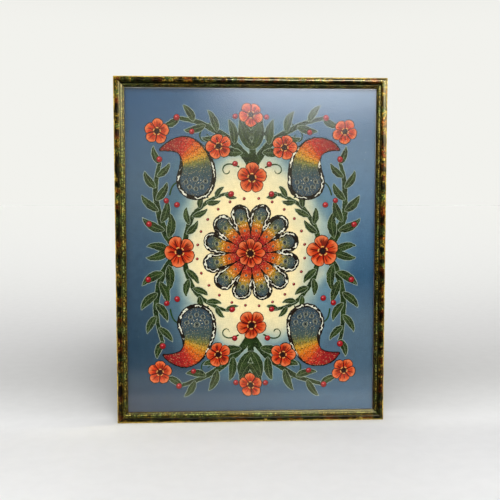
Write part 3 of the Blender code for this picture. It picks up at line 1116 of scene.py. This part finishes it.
def flower_colours(nodes, below, layer, count, wobble):
    """A flower of round-ended petals over the colour below it. Its rim is a circle with a notch between
    petals, from the cosine of half the petal count times the angle."""
    across, up, outside = layer
    far = nodes.vector("LENGTH", nodes.joined(across, up))
    radius = nodes.less(far, outside)
    share = nodes.math("DIVIDE", far, radius)
    angle = nodes.math("ARCTAN2", up, across)
    turned = nodes.times(angle, count / 2)
    wave = nodes.math("ABSOLUTE", nodes.math("COSINE", turned))
    rim = nodes.plus(0.66, nodes.times(nodes.math("POWER", wave, 0.45), 0.32))
    edge = nodes.less(far, nodes.times(radius, rim))
    edge = nodes.math("MAXIMUM", nodes.plus(edge, wobble), nodes.less(outside, 0.5))
    colour = nodes.mix(inside_mask(nodes, edge, 0.75), below, paint(26, 11, 7))
    streaks = nodes.joined(nodes.times(angle, 3.0), share, radius)
    shade = nodes.plus(share, nodes.times(nodes.noise(streaks, 0.9, 3.0), 0.9))
    petal = nodes.ramp(
        nodes.math("DIVIDE", shade, 1.5),
        (0.34, paint(104, 14, 8)),
        (0.48, paint(172, 32, 12)),
        (0.62, paint(204, 54, 20)),
        (0.76, paint(222, 82, 32)),
        (0.90, paint(232, 122, 72)),
    )
    scratches = nodes.joined(nodes.times(angle, 5.0), nodes.times(share, 1.2), radius)
    scratches = nodes.step(nodes.noise(scratches, 0.9, 2.0), 0.50, 0.58)
    scratches = nodes.times(scratches, nodes.step(share, 0.95, 0.60, 0.0, 0.85))
    petal = nodes.mix(scratches, petal, paint(96, 14, 10))
    colour = nodes.mix(inside_mask(nodes, edge, -0.45), colour, petal)
    gap = nodes.times(wave, far, 2.0 / count)
    vein = nodes.times(nodes.math("ABSOLUTE", nodes.math("SINE", turned)), far, 2.0 / count)
    vein = nodes.times(nodes.step(vein, 0.5, 0.25, 0.0, 0.8), nodes.step(share, 0.84, 0.66))
    lines = nodes.math("MAXIMUM", nodes.step(gap, 0.85, 0.45), vein)
    colour = nodes.mix(nodes.times(lines, inside_mask(nodes, edge)), colour, paint(52, 14, 14))
    heart = nodes.times(nodes.step(share, 0.22, 0.17), inside_mask(nodes, edge))
    colour = nodes.mix(heart, colour, paint(30, 16, 16))
    grains = nodes.times(line_mask(nodes, share, 0.27, 0.03, 0.03), nodes.step(wave, 0.55, 0.75))
    return nodes.mix(nodes.times(grains, inside_mask(nodes, edge)), colour, paint(236, 190, 96))


def berry_colours(nodes, below, place):
    """Berries: red with a rose light on their upper side and a thin dark rim."""
    across, up, outside = layer_values(nodes, "berry_mm")
    red = nodes.ramp(nodes.times(up, 0.2), (0.0, paint(150, 22, 30)), (0.7, paint(206, 46, 54)))
    off_light = nodes.joined(nodes.plus(across, 0.8), nodes.less(up, 1.0))
    light = nodes.vector("LENGTH", off_light)
    red = nodes.mix(nodes.step(light, 1.3, 0.7, 0.0, 0.75), red, paint(244, 142, 138))
    colour = nodes.mix(inside_mask(nodes, outside, 0.55), below, paint(64, 22, 22))
    return nodes.mix(inside_mask(nodes, outside, -0.1), colour, red)


def spot_colours(nodes, below):
    """Spots on cones and petals: the small ones are cream dots, the others dark eyes with pale rings."""
    across, up, outside = layer_values(nodes, "spot_mm")
    far = nodes.vector("LENGTH", nodes.joined(across, nodes.times(up, 0.85)))
    radius = nodes.less(nodes.vector("LENGTH", nodes.joined(across, up)), outside)
    share = nodes.math("DIVIDE", far, radius)
    eye = nodes.ramp(
        share,
        (0.0, paint(30, 34, 38)),
        (0.40, paint(34, 38, 42)),
        (0.48, paint(150, 152, 136)),
        (0.56, paint(52, 60, 62)),
        (0.76, paint(58, 66, 68)),
        (0.86, paint(186, 180, 150)),
        (1.0, paint(176, 172, 146)),
    )
    eye = nodes.mix(nodes.step(radius, 1.3, 1.1), eye, paint(246, 232, 196))
    return nodes.mix(inside_mask(nodes, outside), below, eye)


def batik_material():
    """Dyed cotton: the ground with faint slubs in both directions, and over it the leaves, the cones, the
    medallion's petals, their spots, the flowers and the berries. The two sets of threads are a product of
    sines in the bump."""
    material, shader, nodes = surface_material("batik", 0.88, Specular_IOR_Level=0.08)
    place = kept_values(nodes, "cloth_mm")
    design = kept_values(nodes, "design_mm")
    patches = nodes.noise(place, 11.0, 3.0)
    specks = nodes.noise(place, 1.5, 2.0)
    wobble = nodes.step(nodes.noise(place, 4.0, 2.0), 0.2, 0.8, -0.5, 0.5)
    stipple = {"Vector": place, "Scale": 1 / 2.1, "Randomness": 0.75}
    cells = nodes.add("TexVoronoi", stipple).outputs["Distance"]
    colour = ground_colours(nodes, place, design)
    mottle = nodes.step(patches, 0.25, 0.75, 0.955, 1.045)
    mottle = nodes.times(mottle, nodes.step(specks, 0.2, 0.8, 0.97, 1.03))
    for slant in ((1.0, 0.12, 0.0), (0.12, 1.0, 0.0)):
        slubs = nodes.noise(nodes.vector("MULTIPLY", place, slant), 1.1, 1.0)
        mottle = nodes.times(mottle, nodes.step(slubs, 0.3, 0.7, 0.955, 1.045))
    colour = nodes.shaded(colour, mottle)
    colour = green_colours(nodes, colour, patches, cells, wobble)
    cone = layer_values(nodes, "cone_mm")
    cone[0] = nodes.plus(cone[0], wobble)
    share = nodes.step(cone[1], *CONE_DYES)
    colour = bordered_colours(nodes, colour, place, cone, share, specks, cells)
    petal = layer_values(nodes, "petal_mm")
    petal[0] = nodes.plus(petal[0], wobble)
    middle_x, middle_z, _ = nodes.parts(design)
    radius = nodes.vector("LENGTH", nodes.joined(middle_x, middle_z))
    past_heart = nodes.less(radius, HEART_RADIUS - 4.0)
    share = nodes.math("DIVIDE", past_heart, MEDALLION_RADIUS - HEART_RADIUS)
    colour = bordered_colours(nodes, colour, place, petal, share, specks, cells)
    colour = spot_colours(nodes, colour)
    heart = (middle_x, middle_z, nodes.less(radius, HEART_RADIUS))
    colour = flower_colours(nodes, colour, heart, 8, wobble)
    colour = flower_colours(nodes, colour, layer_values(nodes, "flower_mm"), 5, wobble)
    colour = berry_colours(nodes, colour, place)

    # A narrow painted highlight along the right and the top of the opening, paler towards the top
    x, z, _ = nodes.parts(place)
    painted_edge_highlight = nodes.math("MAXIMUM", nodes.step(x, *EDGE_HIGHLIGHT_RIGHT), nodes.step(z, *EDGE_HIGHLIGHT_TOP))
    # The cotton colour here is the painted highlight's: grey-blue below and near white towards the top
    cotton = nodes.mix(nodes.step(z, 60.0, 150.0), paint(140, 142, 164), paint(222, 222, 226))
    nodes.give(shader.inputs["Base Color"], nodes.mix(painted_edge_highlight, colour, cotton))
    threads = [nodes.math("SINE", nodes.times(side, THREADS)) for side in (x, z)]
    weave = nodes.times(*threads)
    bump = nodes.add("Bump", {"Height": weave, "Strength": 0.06, "Distance": 0.0001})
    nodes.give(shader.inputs["Normal"], bump.outputs["Normal"])
    return material


cloth = closed_tube("dyed_cloth", cloth_points(), batik_material())
keep_values(cloth, "cloth_mm", on_cloth(np.stack([plain_x, plain_z, np.zeros_like(plain_x)], axis=1)))
keep_values(cloth, "design_mm", on_cloth(np.stack([print_x, print_z, np.zeros_like(plain_x)], axis=1)))
LAYERS = {
    "stem_mm": stems,
    "leaf_mm": leaves,
    "cone_mm": cones,
    "petal_mm": petals,
    "tendril_mm": tendrils,
    "flower_mm": flowers,
    "berry_mm": berries,
    "spot_mm": spots,
}
for name, values in LAYERS.items():
    keep_values(cloth, name, on_cloth(values))
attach(cloth, "root")
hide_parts("batik_cloth")

# Back board: a sheet of plain 3 mm hardboard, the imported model's own, that presses the cloth against the
# glass. It is pressed from wood fibres that show as a fine felt.


def hardboard_material():
    """Brown board: short darker and lighter fibres, under clouds of a darker brown."""
    material, shader, nodes = surface_material("brown_hardboard", 0.75, Specular_IOR_Level=0.3)
    place = nodes.add("TexCoord").outputs["Object"]
    fibres = nodes.noise(place, 0.0016, 4.0, 1.5)
    clouds = nodes.noise(place, 0.06, 3.0)
    browns = (0.3, paint(84, 58, 38)), (0.5, paint(116, 82, 54)), (0.7, paint(146, 108, 74))
    colour = nodes.ramp(fibres, *browns)
    colour = nodes.mix(nodes.step(clouds, 0.3, 0.7, 0.0, 0.35), colour, paint(92, 64, 44))
    nodes.give(shader.inputs["Base Color"], colour)
    bump = nodes.add("Bump", {"Height": fibres, "Strength": 0.5, "Distance": 0.0003})
    nodes.give(shader.inputs["Normal"], bump.outputs["Normal"])
    return material


dress("back_board", hardboard_material())

# Framer's points: ten small flat steel points, each pushed into a rail close behind the board, so that
# they hold the board, the cloth and the glass in the rebate.
POINT_LENGTH = 0.011
POINT_WIDTH = 0.007
POINT_THICKNESS = 0.0005
POINT_IN_WOOD = 0.0035
POINTS_UP_A_SIDE = 3
POINTS_ACROSS = 2


def steel_material():
    """Dull steel, smeared a little lighter and darker, and rougher in places."""
    material, shader, nodes = surface_material("plain_steel", 0.4, Metallic=1.0)
    place = nodes.add("TexCoord").outputs["Object"]
    smears = nodes.noise(place, 0.002, 3.0)
    steel = nodes.ramp(smears, (0.3, paint(120, 120, 118)), (0.7, paint(170, 170, 168)))
    nodes.give(shader.inputs["Base Color"], steel)
    nodes.give(shader.inputs["Roughness"], nodes.step(smears, 0.3, 0.7, 0.3, 0.5))
    return material


def point_places():
    """The middle of each point's outer end on the rebate's side, and the direction from there inwards."""
    rebate = FACE_WIDTH - REBATE_WIDTH
    places = []
    for number in range(POINTS_UP_A_SIDE):
        height = OUTER_HEIGHT * (number + 0.5) / POINTS_UP_A_SIDE
        places += [((-half_width + rebate, height), (1, 0)), ((half_width - rebate, height), (-1, 0))]
    for number in range(POINTS_ACROSS):
        across = OUTER_WIDTH * ((number + 0.5) / POINTS_ACROSS - 0.5)
        places += [((across, rebate), (0, 1)), ((across, OUTER_HEIGHT - rebate), (0, -1))]
    return places


def add_points(material):
    """Each point is a flat outline, sharp at its outer end, given a thickness. A corner lies at the
    point's place, plus its run in the inward direction, plus its step a quarter turn from there. Seen
    from the front the outline runs anticlockwise, so the back's faces are reversed to point outwards."""
    body, half = POINT_LENGTH - POINT_IN_WOOD, POINT_WIDTH / 2
    outline = np.array(((-POINT_IN_WOOD, 0.0), (0.0, -half), (body, -half), (body, half), (0.0, half)))
    places, inwards = [np.array(values)[:, None] for values in zip(*point_places())]
    sideways = inwards[..., ::-1] * (-1, 1)
    flat = places + outline[:, :1] * inwards + outline[:, 1:] * sideways
    board_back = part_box("back_board")[1].y
    corners = np.empty((len(flat), 2, len(outline), 3))
    corners[..., 0] = flat[:, None, :, 0]
    corners[..., 1] = np.array((board_back + POINT_THICKNESS, board_back))[:, None]
    corners[..., 2] = flat[:, None, :, 1]
    index = np.arange(corners[..., 0].size).reshape(corners.shape[:3])
    back, face = index[:, 0], index[:, 1]
    edges = np.stack([back, np.roll(back, -1, 1), np.roll(face, -1, 1), face], axis=-1).reshape(-1, 4)
    mesh = bpy.data.meshes.new("framers_points")
    faces = back[:, ::-1].tolist() + face.tolist() + edges.tolist()
    mesh.from_pydata(corners.reshape(-1, 3).tolist(), [], faces)
    mesh.materials.append(material)
    points = bpy.data.objects.new("framers_points", mesh)
    bpy.context.scene.collection.objects.link(points)
    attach(points, "root")


add_points(steel_material())
